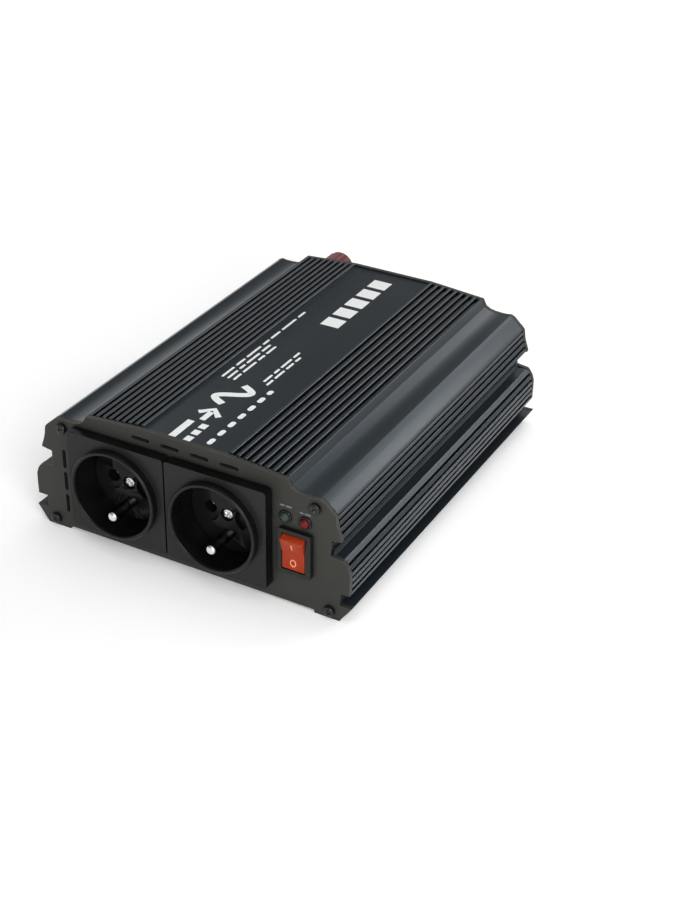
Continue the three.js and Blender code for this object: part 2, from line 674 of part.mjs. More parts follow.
add('fan_frame', makeFanFrame(), 'fan');
add('fan_rotor', makeFanRotor(), 'fan');
add('fan_guard', makeFanGuard(), 'wire');
fanCorners().forEach(([x, z], i) => {
  add(`fan_screw_${i + 1}`, screw(x, z, REAR_FACE + GAP + 1.6, 1, 14), 'screw');
});

for (const [colour, z] of Object.entries(TERMINAL_HEIGHTS)) {
  add(`terminal_${colour}_bush`, makeTerminalBush(z), `${colour}Plastic`);
  add(`terminal_${colour}_stud`, makeTerminalStud(z), 'brass');
  add(`terminal_${colour}_washer`, makeTerminalWasher(z), 'nickel');
  add(`terminal_${colour}_knob`, makeTerminalKnob(z), `${colour}Plastic`);
}

add('circuit_board', makeBoard(), 'board');
[-24, 24].forEach((x, i) => {
  add(`transformer_${i + 1}_core`, makeTransformerCore(x, 78), 'ferrite');
  add(`transformer_${i + 1}_winding`, makeTransformerWinding(x, 78), 'winding');
});
[-46, -20].forEach((x, i) => {
  add(`output_capacitor_${i + 1}`, makeCapacitor(x, 122, 9, 32), 'capacitor');
});
[8, 26, 44].forEach((x, i) => {
  add(`input_capacitor_${i + 1}`, makeCapacitor(x, 152, 6.5, 24), 'capacitor');
});
add('choke', makeChoke(30, 120), 'winding');
add('clamp_bar_left', makeClampBar(-1), 'bar');
add('clamp_bar_right', makeClampBar(1), 'bar');

export default inverter;
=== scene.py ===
"""Looks of the power inverter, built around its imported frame."""
import json
import math

import bmesh
import bpy
from mathutils import Matrix, Vector


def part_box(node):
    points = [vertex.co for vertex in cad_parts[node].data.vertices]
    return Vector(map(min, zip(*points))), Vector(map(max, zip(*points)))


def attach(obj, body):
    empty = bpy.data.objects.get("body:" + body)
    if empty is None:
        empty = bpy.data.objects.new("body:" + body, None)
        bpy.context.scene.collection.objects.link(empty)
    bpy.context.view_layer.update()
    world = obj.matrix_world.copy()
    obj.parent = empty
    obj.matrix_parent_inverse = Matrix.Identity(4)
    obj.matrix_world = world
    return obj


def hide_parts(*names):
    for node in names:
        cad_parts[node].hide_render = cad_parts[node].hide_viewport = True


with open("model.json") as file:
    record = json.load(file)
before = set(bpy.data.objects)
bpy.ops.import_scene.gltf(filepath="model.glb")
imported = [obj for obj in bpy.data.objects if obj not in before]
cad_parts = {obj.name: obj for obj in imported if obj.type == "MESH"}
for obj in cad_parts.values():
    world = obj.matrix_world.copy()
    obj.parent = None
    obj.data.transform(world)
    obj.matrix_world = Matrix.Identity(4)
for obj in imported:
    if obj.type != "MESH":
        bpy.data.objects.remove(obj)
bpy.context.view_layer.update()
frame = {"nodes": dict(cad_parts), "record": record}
NODES = frame["nodes"]
MM = 0.001


# ---------------------------------------------------------------- places read from the frame

def middle(node):
    """The middle of a CAD node's box."""
    low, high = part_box(node)
    return (low + high) / 2


FRONT_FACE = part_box("front_plate")[0].y
REAR_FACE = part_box("rear_plate")[1].y


def at(x, y, z):
    """A point from millimetres, with y counted from the front face of the front plate."""
    return Vector((x * MM, FRONT_FACE + y * MM, z * MM))


# ---------------------------------------------------------------- camera, light and floor

# Solved from the straight edges of the case in the photo. Degrees, millimetres.
CAMERA_AZIMUTH = 28.27
CAMERA_ELEVATION = 31.29
CAMERA_ROLL = 0.945
CAMERA_LENS = 64.2
CAMERA_PLACE = (324.1, -468.2, 405.3)

# The sine of the height above the horizon where the studio starts and stops getting darker.
PALE_UP_TO = 0.12
DARK_FROM = 0.4

FLOOR_REACH = 12
# Metres from the origin where the glow of the floor starts and stops growing, and its strength there.
FLOOR_GLOW_RANGE = (0.3, 2.6)
FLOOR_GLOW = (0.16, 0.85)


def make_camera():
    azimuth, elevation, roll = (math.radians(a) for a in (CAMERA_AZIMUTH, CAMERA_ELEVATION, CAMERA_ROLL))
    back = Vector((
        math.sin(azimuth) * math.cos(elevation),
        -math.cos(azimuth) * math.cos(elevation),
        math.sin(elevation),
    ))
    right = Vector((0, 0, 1)).cross(back).normalized()
    up = back.cross(right)
    rolled_right = right * math.cos(roll) + up * math.sin(roll)
    rolled_up = up * math.cos(roll) - right * math.sin(roll)
    data = bpy.data.cameras.new("camera")
    data.lens = CAMERA_LENS
    data.sensor_width = 36
    data.clip_start = 0.01
    camera = bpy.data.objects.new("camera", data)
    turn = Matrix((rolled_right, rolled_up, back)).transposed().to_4x4()
    camera.matrix_world = Matrix.Translation(at(*CAMERA_PLACE)) @ turn
    bpy.context.scene.collection.objects.link(camera)
    bpy.context.scene.camera = camera


def make_light(name, place, target, size, power):
    """A white rectangular light at a place in metres, aimed at a target."""
    data = bpy.data.lights.new(name, "AREA")
    data.shape = "RECTANGLE"
    data.size, data.size_y = size
    data.energy = power
    light = bpy.data.objects.new(name, data)
    light.location = place
    light.rotation_euler = (Vector(target) - Vector(place)).to_track_quat("-Z", "Y").to_euler()
    bpy.context.scene.collection.objects.link(light)


def make_world(low_strength, high_strength):
    """A studio that is pale at the height of the horizon and darker overhead."""
    world = bpy.data.worlds.new("studio")
    world.use_nodes = True
    tree = world.node_tree
    background = tree.nodes["Background"]
    background.inputs["Color"].default_value = (1, 1, 1, 1)
    direction = tree.nodes.new("ShaderNodeTexCoord")
    parts = tree.nodes.new("ShaderNodeSeparateXYZ")
    ramp = tree.nodes.new("ShaderNodeMapRange")
    ramp.interpolation_type = "SMOOTHSTEP"
    tree.links.new(direction.outputs["Generated"], parts.inputs["Vector"])
    tree.links.new(parts.outputs["Z"], ramp.inputs["Value"])
    ramp.inputs["From Min"].default_value = PALE_UP_TO
    ramp.inputs["From Max"].default_value = DARK_FROM
    ramp.inputs["To Min"].default_value = low_strength
    ramp.inputs["To Max"].default_value = high_strength
    tree.links.new(ramp.outputs["Result"], background.inputs["Strength"])
    bpy.context.scene.world = world


def make_floor():
    """A white floor that glows more the farther it is from the part, so that it ends up plain white."""
    mesh = bpy.data.meshes.new("floor")
    reach = FLOOR_REACH
    corners = [(-reach, -reach, 0), (reach, -reach, 0), (reach, reach, 0), (-reach, reach, 0)]
    mesh.from_pydata(corners, [], [(0, 1, 2, 3)])
    floor = bpy.data.objects.new("floor", mesh)
    bpy.context.scene.collection.objects.link(floor)
    surface = Surface("floor", (0.92, 0.92, 0.92), 0.9)
    surface.mottle(scale=6, amount=0.01)
    surface.shader.inputs["Emission Color"].default_value = (1, 1, 1, 1)
    distance = surface.node("ShaderNodeVectorMath", operation="LENGTH")
    surface.link(surface.coordinates, distance.inputs[0])
    glow = surface.remap(distance.outputs["Value"], *FLOOR_GLOW_RANGE, *FLOOR_GLOW)
    surface.link(glow, surface.shader.inputs["Emission Strength"])
    mesh.materials.append(surface.material)


# ---------------------------------------------------------------- materials

# Where a noise counts as low and as high when it is stretched to the whole range from 0 to 1.
NOISE_LOW = 0.3
NOISE_HIGH = 0.7

# The openness of a place, from 1 for a plain surface down, where the painted shade starts and where it is
# full.
SHADE_STARTS = 0.85
SHADE_FULL = 0.35
SHADE_COVER = 0.95

# How well the rounded normal agrees with the true one where the pale edge, partly wear and partly painted
# highlight, starts and where it is full.
PALE_EDGE_STARTS = 0.985
PALE_EDGE_FULL = 0.88


class Surface:
    """A procedural material on one Principled shader, built up by the calls that each surface needs."""

    def __init__(self, name, color, roughness, metallic=0.0, specular=0.5):
        self.material = bpy.data.materials.new(name)
        self.material.use_nodes = True
        self.tree = self.material.node_tree
        self.shader = self.tree.nodes["Principled BSDF"]
        self.shader.inputs["Base Color"].default_value = (*color, 1)
        self.shader.inputs["Roughness"].default_value = roughness
        self.shader.inputs["Metallic"].default_value = metallic
        self.shader.inputs["Specular IOR Level"].default_value = specular
        self.color = color
        self.roughness = roughness
        self.material.diffuse_color = (*color, 1)
        self.coordinates = self.tree.nodes.new("ShaderNodeTexCoord").outputs["Object"]

    def node(self, kind, **settings):
        made = self.tree.nodes.new(kind)
        for key, value in settings.items():
            setattr(made, key, value)
        return made

    def link(self, source, target):
        self.tree.links.new(source, target)

    def noise(self, scale, detail=3.0, stretch=(1, 1, 1)):
        mapping = self.node("ShaderNodeMapping")
        mapping.inputs["Scale"].default_value = stretch
        texture = self.node("ShaderNodeTexNoise")
        texture.inputs["Scale"].default_value = scale
        texture.inputs["Detail"].default_value = detail
        self.link(self.coordinates, mapping.inputs["Vector"])
        self.link(mapping.outputs["Vector"], texture.inputs["Vector"])
        return texture.outputs["Fac"]

    def remap(self, value, low, high, new_low, new_high):
        ranged = self.node("ShaderNodeMapRange")
        self.link(value, ranged.inputs["Value"])
        ranged.inputs["From Min"].default_value = low
        ranged.inputs["From Max"].default_value = high
        ranged.inputs["To Min"].default_value = new_low
        ranged.inputs["To Max"].default_value = new_high
        return ranged.outputs["Result"]

    def blend(self, factor, target_color):
        """Lays a second colour over the base colour by factor."""
        mix = self.node("ShaderNodeMix", data_type="RGBA")
        base = self.shader.inputs["Base Color"]
        if base.is_linked:
            self.link(base.links[0].from_socket, mix.inputs["A"])
        else:
            mix.inputs["A"].default_value = base.default_value
        mix.inputs["B"].default_value = (*target_color, 1)
        self.link(factor, mix.inputs["Factor"])
        self.link(mix.outputs["Result"], base)
        return self

    def mottle(self, scale, amount, stretch=(1, 1, 1)):
        """Slow changes of brightness and of roughness over the surface."""
        pattern = self.noise(scale, stretch=stretch)
        lighter = tuple(min(1.0, c * (1 + 4 * amount) + amount * 0.02) for c in self.color)
        self.blend(self.remap(pattern, NOISE_LOW, NOISE_HIGH, 0.0, 1.0), lighter)
        low = self.roughness * (1 - amount * 2)
        high = min(1.0, self.roughness * (1 + amount * 2))
        self.link(self.remap(pattern, NOISE_LOW, NOISE_HIGH, low, high), self.shader.inputs["Roughness"])
        return self

    def bump(self, scale, height, detail=2.0, stretch=(1, 1, 1)):
        """Relief of that height in metres."""
        bump = self.node("ShaderNodeBump")
        bump.inputs["Strength"].default_value = 1.0
        bump.inputs["Distance"].default_value = height
        self.link(self.noise(scale, detail, stretch), bump.inputs["Height"])
        normal = self.shader.inputs["Normal"]
        if normal.is_linked:
            self.link(normal.links[0].from_socket, bump.inputs["Normal"])
        self.link(bump.outputs["Normal"], normal)
        return self

    def painted_shade(self, color, reach):
        """Painted shade: darker in narrow grooves and corners, within that reach in metres."""
        hollow = self.node("ShaderNodeAmbientOcclusion", samples=4)
        hollow.inputs["Distance"].default_value = reach
        cover = self.remap(hollow.outputs["AO"], SHADE_STARTS, SHADE_FULL, 0.0, SHADE_COVER)
        return self.blend(cover, color)

    def edge_wear_and_highlight(self, color, radius, amount, scale=900, stretch=(1, 1, 1)):
        """Paler where an edge is near, broken up by a fine pattern: partly edge wear and partly a painted
        highlight.
        """
        rounded = self.node("ShaderNodeBevel", samples=4)
        rounded.inputs["Radius"].default_value = radius
        geometry = self.node("ShaderNodeNewGeometry")
        dot = self.node("ShaderNodeVectorMath", operation="DOT_PRODUCT")
        self.link(rounded.outputs["Normal"], dot.inputs[0])
        self.link(geometry.outputs["Normal"], dot.inputs[1])
        edge = self.remap(dot.outputs["Value"], PALE_EDGE_STARTS, PALE_EDGE_FULL, 0.0, amount)
        broken = self.node("ShaderNodeMath", operation="MULTIPLY")
        self.link(edge, broken.inputs[0])
        self.link(self.remap(self.noise(scale, 3, stretch), 0.35, 0.65, 0.4, 1.0), broken.inputs[1])
        return self.blend(broken.outputs["Value"], color)

    def dust(self, color, amount, scale=60):
        """A thin film that settles on what faces up."""
        geometry = self.node("ShaderNodeNewGeometry")
        parts = self.node("ShaderNodeSeparateXYZ")
        self.link(geometry.outputs["Normal"], parts.inputs["Vector"])
        film = self.node("ShaderNodeMath", operation="MULTIPLY")
        self.link(self.remap(parts.outputs["Z"], 0.5, 1.0, 0.0, amount), film.inputs[0])
        self.link(self.remap(self.noise(scale, 4), 0.4, 0.7, 0.2, 1.0), film.inputs[1])
        return self.blend(film.outputs["Value"], color)

    def painted_front_light(self, color):
        """Another colour on what faces forward: painted light on the front, while the sides keep the darker
        base as painted shade.
        """
        geometry = self.node("ShaderNodeNewGeometry")
        parts = self.node("ShaderNodeSeparateXYZ")
        self.link(geometry.outputs["Normal"], parts.inputs["Vector"])
        return self.blend(self.remap(parts.outputs["Y"], -0.9, -0.98, 0.0, 1.0), color)


# Nearly black, the painted shade in grooves and slots.
SHADE_BLACK = (0.001, 0.001, 0.001)

# Metres along the earth pin's axis where the painted highlight of its tip starts and where it is full.
PIN_GLINT_RANGE = (-0.0086, -0.0093)


def extruded_aluminium():
    surface = Surface("anodised_extrusion", (0.02, 0.0272, 0.0335), 0.29, 0.35, 0.3)
    surface.mottle(scale=60, amount=0.04, stretch=(1, 0.06, 1))
    surface.bump(scale=900, height=0.000008, stretch=(1, 0.02, 1))
    surface.bump(scale=3500, height=0.000006)
    # Pale rib crests: partly edge wear and partly a painted highlight that makes the crests shine.
    surface.edge_wear_and_highlight((0.2, 0.21, 0.22), 0.0004, 0.5, stretch=(1, 0.04, 1))
    # Painted shade that blackens the grooves between the ribs and the notches.
    surface.painted_shade(SHADE_BLACK, 0.005)
    surface.dust((0.09, 0.095, 0.1), 0.02)
    return surface.material


def powder_coat():
    surface = Surface("powder_coat", (0.03, 0.03, 0.0265), 0.5, 0.1, 0.2)
    surface.mottle(scale=45, amount=0.05)
    surface.bump(scale=1400, height=0.00004, detail=3)
    # Painted shade in the corners and openings of the plate.
    surface.painted_shade(SHADE_BLACK, 0.0016)
    surface.edge_wear_and_highlight((0.12, 0.12, 0.11), 0.0004, 0.5)
    return surface.material


def moulded(name, color, roughness, grain=2200, relief=0.00003, front=None, specular=0.3):
    surface = Surface(name, color, roughness, 0.0, specular)
    surface.mottle(scale=80, amount=0.06)
    surface.bump(scale=grain, height=relief, detail=3)
    surface.bump(scale=70, height=0.00006)
    # A front colour is painted light on the forward faces.
    if front:
        surface.painted_front_light(front)
    surface.edge_wear_and_highlight(tuple(c * 2.2 for c in color), 0.0003, 0.4)
    return surface.material


def plated(name, color, roughness, metallic=1.0, tarnish=0.12):
    surface = Surface(name, color, roughness, metallic)
    surface.mottle(scale=250, amount=tarnish)
    surface.bump(scale=1500, height=0.00001, stretch=(1, 6, 1))
    stain = surface.remap(surface.noise(120, 4), 0.55, 0.75, 0.0, 0.5)
    surface.blend(stain, tuple(c * 0.45 for c in color))
    return surface.material


def pin_metal_painted_glint():
    """A shaft darkened to a painted dark reflection, and a tip with a painted highlight."""
    surface = Surface("earth_pin_metal", (0.05, 0.05, 0.047), 0.3, 1.0)
    surface.mottle(scale=250, amount=0.15)
    surface.bump(scale=1500, height=0.00001, stretch=(1, 6, 1))
    parts = surface.node("ShaderNodeSeparateXYZ")
    surface.link(surface.coordinates, parts.inputs["Vector"])
    # The pale tip is a painted highlight.
    surface.blend(surface.remap(parts.outputs["Y"], *PIN_GLINT_RANGE, 0.0, 1.0), (0.75, 0.74, 0.72))
    return surface.material


def lens(name, color, glow):
    surface = Surface(name, color, 0.14, 0.0, 0.12)
    surface.mottle(scale=300, amount=0.08)
    surface.bump(scale=500, height=0.00002)
    surface.shader.inputs["Subsurface Weight"].default_value = 0.15
    surface.shader.inputs["Subsurface Scale"].default_value = 0.001
    # Emission in the lens's own colour; on the rocker it is a painted glow.
    surface.shader.inputs["Emission Color"].default_value = (*color, 1)
    surface.shader.inputs["Emission Strength"].default_value = glow
    return surface.material


def circuit_laminate():
    surface = Surface("solder_mask", (0.02, 0.11, 0.05), 0.35)
    surface.mottle(scale=90, amount=0.1)
    brick = surface.node("ShaderNodeTexBrick")
    brick.inputs["Scale"].default_value = 260
    brick.inputs["Mortar Size"].default_value = 0.012
    surface.link(surface.coordinates, brick.inputs["Vector"])
    surface.blend(surface.remap(brick.outputs["Fac"], 0, 1, 0.0, 0.5), (0.05, 0.2, 0.09))
    surface.bump(scale=600, height=0.00002)
    return surface.material


def wound_wire():
    surface = Surface("wound_copper", (0.42, 0.2, 0.06), 0.3, 0.8)
    wave = surface.node("ShaderNodeTexWave", bands_direction="Z")
    wave.inputs["Scale"].default_value = 400
    wave.inputs["Distortion"].default_value = 0.6
    surface.link(surface.coordinates, wave.inputs["Vector"])
    surface.blend(surface.remap(wave.outputs["Fac"], 0.0, 0.5, 0.8, 0.0), (0.12, 0.04, 0.012))
    surface.bump(scale=700, height=0.00005)
    return surface.material


def screen_print(name, color):
    surface = Surface(name, color, 0.5)
    surface.mottle(scale=900, amount=0.03)
    surface.bump(scale=3000, height=0.000008)
    wear = surface.remap(surface.noise(700, 5), 0.66, 0.74, 0.0, 0.7)
    surface.blend(wear, tuple(c * 0.35 for c in color))
    return surface.material


MATERIALS = {
    "case": extruded_aluminium(),
    "plate": powder_coat(),
    "screw": plated("black_zinc", (0.006, 0.006, 0.0065), 0.2, 0.3),
    # Near-black sides and top as painted shade and dark reflection, with a lighter front as painted light.
    "socket": moulded(
        "socket_moulding", (0.003, 0.003, 0.003), 0.3, front=(0.016, 0.016, 0.0156), specular=0.15,
    ),
    "socket_floor": moulded("socket_floor_moulding", (0.005, 0.005, 0.005), 0.35, specular=0.2),
    "nickel": plated("nickel", (0.62, 0.61, 0.58), 0.25),
    "brass": plated("brass", (0.6, 0.43, 0.17), 0.3),
    "bezel": moulded("bezel_moulding", (0.006, 0.006, 0.006), 0.25),
    # The rocker's emission is a painted glow; it is no lamp.
    "rocker": lens("rocker_plastic", (0.26, 0.026, 0.006), 0.05),
    "green_lens": lens("green_lens", (0.03, 0.045, 0.035), 0.0),
    "red_lens": lens("red_lens", (0.1, 0.008, 0.008), 0.01),
    "fan": moulded("fan_moulding", (0.014, 0.014, 0.015), 0.5),
    "wire": plated("plated_wire", (0.6, 0.6, 0.6), 0.22),
    "red_plastic": moulded("red_moulding", (0.1, 0.01, 0.013), 0.38),
    "black_plastic": moulded("black_moulding", (0.012, 0.012, 0.013), 0.38),
    "board": circuit_laminate(),
    "ferrite": moulded("ferrite", (0.03, 0.03, 0.034), 0.6, grain=900, relief=0.00006),
    "winding": wound_wire(),
    "capacitor": moulded("capacitor_sleeve", (0.02, 0.03, 0.07), 0.3),
    "bar": plated("bar_steel", (0.45, 0.45, 0.46), 0.38),
}
PIN_METAL_PAINTED_GLINT = pin_metal_painted_glint()
WHITE_PRINT = screen_print("white_print", (0.72, 0.74, 0.73))
FAINT_PRINT = screen_print("faint_print", (0.13, 0.13, 0.125))
ROCKER_PRINT = screen_print("rocker_print", (0.75, 0.3, 0.15))
BRIGHT_SCREW = plated("bright_zinc", (0.55, 0.55, 0.54), 0.28)


# ---------------------------------------------------------------- CAD nodes

def smooth_shading():
    """A geometry group that smooths the faces after the bevels."""
    group = bpy.data.node_groups.new("smooth_faces", "GeometryNodeTree")
    group.interface.new_socket("Geometry", in_out="INPUT", socket_type="NodeSocketGeometry")
    group.interface.new_socket("Geometry", in_out="OUTPUT", socket_type="NodeSocketGeometry")
    start = group.nodes.new("NodeGroupInput")
    end = group.nodes.new("NodeGroupOutput")
    smooth = group.nodes.new("GeometryNodeSetShadeSmooth")
    group.links.new(start.outputs[0], smooth.inputs["Geometry"])
    group.links.new(smooth.outputs["Geometry"], end.inputs[0])
    return group


SMOOTH = smooth_shading()


WELD_DISTANCE = 0.000005
BEVEL_SEGMENTS = 2
BEVEL_ANGLE = 30
OTHER_EDGE_WIDTH = 0.00015
EDGE_WIDTHS = {
    "case": 0.00022, "plate": 0.0004, "socket": 0.0003, "socket_floor": 0.0003, "bezel": 0.0004,
    "screw": 0.0002, "rocker": 0.0003, "fan": 0.0003,
}


def round_edges(piece, width):
    """Modifiers that round the sharp edges of a CAD node to that width in metres."""
    weld = piece.modifiers.new("weld", "WELD")
    weld.merge_threshold = WELD_DISTANCE
    bevel = piece.modifiers.new("bevel", "BEVEL")
    bevel.width = width
    bevel.segments = BEVEL_SEGMENTS
    bevel.limit_method = "ANGLE"
    bevel.angle_limit = math.radians(BEVEL_ANGLE)
    bevel.use_clamp_overlap = True
    smooth = piece.modifiers.new("smooth", "NODES")
    smooth.node_group = SMOOTH
    weighted = piece.modifiers.new("weighted", "WEIGHTED_NORMAL")
    weighted.keep_sharp = True
    weighted.weight = 100


def dress_cad_nodes():
    """Gives every CAD node its material and rounded edges."""
    for entry in frame["record"]["subparts"]:
        piece = NODES[entry["node"]]
        slot = entry["material_slot"]
        piece.data.materials.clear()
        piece.data.materials.append(MATERIALS[slot])
        round_edges(piece, EDGE_WIDTHS.get(slot, OTHER_EDGE_WIDTH))


# ---------------------------------------------------------------- mesh tools

# Metres within which corners become one. The fine one keeps parts apart that nearly touch.
MERGE = 0.000001
FINE_MERGE = 0.0000001


def finish_mesh(name, shape, merge=MERGE):
    """Turns a bmesh into mesh data with its faces outward and smooth."""
    bmesh.ops.remove_doubles(shape, verts=shape.verts, dist=merge)
    bmesh.ops.recalc_face_normals(shape, faces=shape.faces)
    mesh = bpy.data.meshes.new(name)
    shape.to_mesh(mesh)
    shape.free()
    for polygon in mesh.polygons:
        polygon.use_smooth = True
    return mesh


def turned(name, profile, segments=48, flute=None):
    """A body turned about the Y axis from (radius, y) corners in millimetres.

    flute(angle, radius, y) gives a new radius, for bodies that aren't round.
    """
    shape = bmesh.new()
    rings = []
    for radius, y in profile:
        ring = []
        for step in range(segments):
            angle = 2 * math.pi * step / segments
            r = flute(angle, radius, y) if flute else radius
            ring.append(shape.verts.new((r * math.cos(angle) * MM, y * MM, r * math.sin(angle) * MM)))
        rings.append(ring)
    for near, far in zip(rings, rings[1:]):
        for step in range(segments):
            following = (step + 1) % segments
            shape.faces.new((near[step], near[following], far[following], far[step]))
    bmesh.ops.remove_doubles(shape, verts=shape.verts, dist=MERGE)
    bmesh.ops.dissolve_degenerate(shape, edges=shape.edges, dist=FINE_MERGE)
    return finish_mesh(name, shape)


def arc(centre, radius, start, end, steps=6):
    """Corners of a profile along an arc, from (radius, y) centre, with angles in degrees."""
    angles = [math.radians(start + (end - start) * i / steps) for i in range(steps + 1)]
    return [(centre[0] + radius * math.cos(a), centre[1] + radius * math.sin(a)) for a in angles]


def block(shape, low, high):
    """Adds a box, corner to corner in millimetres, to a bmesh."""
    made = bmesh.ops.create_cube(shape, size=1)["verts"]
    for vert in made:
        for axis in range(3):
            vert.co[axis] = (high[axis] if vert.co[axis] > 0 else low[axis]) * MM
    return made


def piece_from(name, mesh, material, place, body="root", replaces=()):
    """Puts mesh data at a place as a piece that rides on a body."""
    piece = bpy.data.objects.new(name, mesh)
    piece.location = place
    bpy.context.scene.collection.objects.link(piece)
    mesh.materials.clear()
    mesh.materials.append(material)
    bpy.context.view_layer.update()
    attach(piece, body)
    if replaces:
        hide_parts(*replaces)
    return piece


def carved(name, mesh, cutter):
    """Mesh data with another body cut out of it."""
    body = bpy.data.objects.new("body", mesh)
    tool = bpy.data.objects.new("tool", cutter)
    for each in (body, tool):
        bpy.context.scene.collection.objects.link(each)
    cut = body.modifiers.new("cut", "BOOLEAN")
    cut.operation = "DIFFERENCE"
    cut.solver = "EXACT"
    cut.use_self = True
    cut.object = tool
    bpy.context.view_layer.update()
    result = bpy.data.meshes.new_from_object(body.evaluated_get(bpy.context.evaluated_depsgraph_get()))
    result.name = name
    for each in (body, tool):
        bpy.data.objects.remove(each)
    return result


# ---------------------------------------------------------------- screws

HEAD_RADIUS = 2.5
HEAD_HEIGHT = 1.6
HEAD_ROUNDING = 0.75
SHANK_RADIUS = 1.5
SHANK_LENGTH = 9
RECESS_ARM = 1.6
RECESS_HALF_WIDTH = 0.4
RECESS_DEPTH = 1.1
RECESS_TAPER = 0.6

# Degrees that the first screw is turned, and that each one is turned more than the one before.
FIRST_SCREW_TURN = 17
SCREW_TURN_STEP = 37


def cross_cutter():
    """A cross whose arms narrow towards the bottom of the recess."""
    shape = bmesh.new()
    bottom = HEAD_HEIGHT - RECESS_DEPTH
    for across, along in ((RECESS_ARM, RECESS_HALF_WIDTH), (RECESS_HALF_WIDTH, RECESS_ARM)):
        verts = block(shape, (-across, bottom, -along), (across, HEAD_HEIGHT + 0.5, along))
        for vert in verts:
            if vert.co.y < (HEAD_HEIGHT - RECESS_DEPTH / 2) * MM:
                vert.co.x *= RECESS_TAPER
                vert.co.z *= RECESS_TAPER
    return finish_mesh("cross", shape)


def pan_head():
    """A domed head and its shank, with the seat of the head at y 0 and the head towards +Y."""
    dome = [
        *arc((HEAD_RADIUS - HEAD_ROUNDING, HEAD_ROUNDING), HEAD_ROUNDING, 0, 62, 6),
        (1.2, HEAD_HEIGHT - 0.04),
        (0.6, HEAD_HEIGHT - 0.01),
        (0, HEAD_HEIGHT),
    ]
    shank = [
        (0, -SHANK_LENGTH),
        (SHANK_RADIUS - 0.3, -SHANK_LENGTH),
        (SHANK_RADIUS, 0.4 - SHANK_LENGTH),
        (SHANK_RADIUS, 0),
    ]
    seat = [(HEAD_RADIUS - 0.1, 0), (HEAD_RADIUS, 0.12)]
    body = turned("pan_head", [*shank, *seat, *dome], 40)
    return carved("pan_head", body, cross_cutter())


def screw_facings():
    """Each screw's node and the way its head faces along Y."""
    facings = {}
    for number in range(1, 5):
        facings[f"front_screw_{number}"] = -1
        facings[f"rear_screw_{number}"] = 1
        facings[f"fan_screw_{number}"] = 1
    for side in ("left", "right"):
        facings[f"socket_{side}_screw"] = -1
    return facings


def make_screws():
    """Pan heads with a cross recess, each turned a little differently."""
    head = pan_head()
    for index, (node, facing) in enumerate(screw_facings().items()):
        low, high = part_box(node)
        centre = middle(node)
        seat = high.y - HEAD_HEIGHT * MM if facing > 0 else low.y + HEAD_HEIGHT * MM
        mesh = head.copy()
        turn = Matrix.Rotation(math.radians(FIRST_SCREW_TURN + SCREW_TURN_STEP * index), 4, "Y")
        if facing < 0:
            turn = Matrix.Rotation(math.pi, 4, "Z") @ turn
        mesh.transform(turn)
        metal = BRIGHT_SCREW if node.startswith("socket") else MATERIALS["screw"]
        place = Vector((centre.x, seat, centre.z))
        piece_from(node + "_head", mesh, metal, place, replaces=(node,))


# ---------------------------------------------------------------- sockets

SOCKETS = {"left": -32.1, "right": 17.85}
SOCKET_HEIGHT = 31.4
PIN_DROP = 10
PIN_RADIUS = 2.4
PIN_COLLAR_RADIUS = 3.8
PIN_TIP = -9.8
PIN_ROUNDING = 1.9
PIN_FLAT_RADIUS = 0.85
PIN_COLLAR = (11.9, 14.9)


def quarter_turn(steps=10):
    """Angles from 0 to 90 degrees."""
    return [math.radians(9 * i) for i in range(steps + 1)]


def make_earth_pins():
    """Round pins with a domed tip, and the collar that holds them in the insert."""
    dome = PIN_RADIUS - PIN_FLAT_RADIUS
    tip = [
        (dome * math.cos(a) + PIN_FLAT_RADIUS, PIN_TIP + PIN_ROUNDING - PIN_ROUNDING * math.sin(a))
        for a in quarter_turn()
    ]
    collar_front, collar_back = PIN_COLLAR
    profile = [
        (0, collar_back), (PIN_COLLAR_RADIUS, collar_back), (PIN_COLLAR_RADIUS, collar_front),
        (PIN_RADIUS, collar_front), *tip, (0.4, PIN_TIP), (0, PIN_TIP),
    ]
    for side, x in SOCKETS.items():
        name = f"socket_{side}_pin"
        mesh = turned(name, profile, 40)
        place = at(x, 0, SOCKET_HEIGHT - PIN_DROP)
        piece_from(name, mesh, PIN_METAL_PAINTED_GLINT, place, replaces=(f"socket_{side}_earth_pin",))


# ---------------------------------------------------------------- switch and lamps

LAMP_RADIUS = 2.0
LAMP_DOME_START = -0.7
LAMP_DOME_HEIGHT = 1.6

# Corners, as (radius, y), of a lamp's body behind its dome and of the black ring round it.
LAMP_BODY = [(0, 7.3), (2.0, 7.3), (2.0, 3.3), (2.6, 3.3), (2.6, 2.3), (2.0, 2.3)]
LAMP_RING = [
    (2.12, -0.05), (2.12, -0.5), (2.3, -0.75), (2.7, -0.75), (2.95, -0.5), (3.0, -0.05), (2.12, -0.05),
]

# The rocker rests tilted about its pivot. Its two faces slope away from the middle of its front.
ROCKER_PIVOT = (53.7, 0.4, 28)
ROCKER_REST_TILT = 9
ROCKER_FRONT = -2.7
ROCKER_HALF_HEIGHT = 7.7
ROCKER_FACE_DROP = 1.2
MARK_HEIGHT = 4.3
MARK_HALF_DEPTH = 0.03


def make_lamps():
    """The two lamps' lenses, and a thin black ring round each."""
    dome = [
        (LAMP_RADIUS * math.cos(a), LAMP_DOME_START - LAMP_DOME_HEIGHT * math.sin(a))
        for a in quarter_turn()
    ]
    profile = [*LAMP_BODY, *dome]
    for color in ("green", "red"):
        node = f"lamp_{color}"
        slot = f"{color}_lens"
        centre = middle(node)
        mesh = turned(f"lamp_{color}_dome", profile, 40)
        place = Vector((centre.x, FRONT_FACE, centre.z))
        piece_from(f"lamp_{color}_dome", mesh, MATERIALS[slot], place, replaces=(node,))
        ring = turned(f"lamp_{color}_ring", LAMP_RING, 40)
        piece_from(f"lamp_{color}_ring", ring, MATERIALS["bezel"], place)


